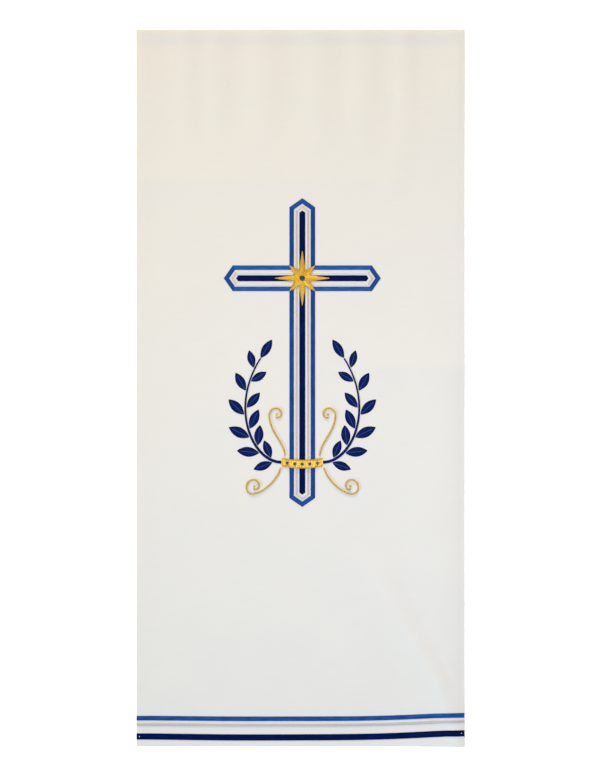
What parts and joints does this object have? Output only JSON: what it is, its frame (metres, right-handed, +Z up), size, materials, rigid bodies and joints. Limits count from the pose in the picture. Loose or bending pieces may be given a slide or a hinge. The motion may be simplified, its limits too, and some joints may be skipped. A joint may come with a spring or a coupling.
{
  "type": "ambo cloth",
  "caption": "Long hemmed cream cloth laid out flat, with blue, silver and navy bands across its lower end and a sewn ribbon cross with leaf branches and a gold star.",
  "frame": {"origin": "the middle of the cloth, on the surface that it lies on", "axes": "+X to the cloth's right, +Y to its upper end, +Z up, out of its face"},
  "size_m": [0.5501, 1.2001, 0.0069],
  "materials": {
    "cloth": "cream woven cloth, matt, fine plain weave",
    "ribbon_blue": "mid blue satin stitch and ribbon, soft sheen",
    "ribbon_navy": "navy satin ribbon, soft sheen",
    "navy_thread": "navy satin stitch, silky",
    "braid_silver": "plaited silver thread, low metallic sheen",
    "gold_thread": "gold thread, laid and couched, metallic sheen",
    "stone": "dark teal cut stone, polished"
  },
  "bodies": {
    "root": {"ground_cloth": "cloth", "border_blue": "ribbon_blue", "border_silver": "braid_silver", "border_navy": "ribbon_navy", "cross_outline": "ribbon_blue", "cross_braid": "braid_silver", "cross_core": "ribbon_navy", "star": "gold_thread", "star_stone": "stone", "tie_band": "gold_thread", "stem_left": "navy_thread", "leaf_left_1": "navy_thread", "leaf_left_2": "navy_thread", "leaf_left_3": "navy_thread", "leaf_left_4": "navy_thread", "leaf_left_5": "navy_thread", "leaf_left_6": "navy_thread", "leaf_left_7": "navy_thread", "leaf_left_8": "navy_thread", "leaf_left_9": "navy_thread", "leaf_left_10": "navy_thread", "leaf_left_11": "navy_thread", "leaf_left_12": "navy_thread", "tendril_lower_left": "gold_thread", "tendril_upper_left": "gold_thread", "stem_right": "navy_thread", "leaf_right_1": "navy_thread", "leaf_right_2": "navy_thread", "leaf_right_3": "navy_thread", "leaf_right_4": "navy_thread", "leaf_right_5": "navy_thread", "leaf_right_6": "navy_thread", "leaf_right_7": "navy_thread", "leaf_right_8": "navy_thread", "leaf_right_9": "navy_thread", "leaf_right_10": "navy_thread", "leaf_right_11": "navy_thread", "leaf_right_12": "navy_thread", "tendril_lower_right": "gold_thread", "tendril_upper_right": "gold_thread"}
  },
  "joints": []
}
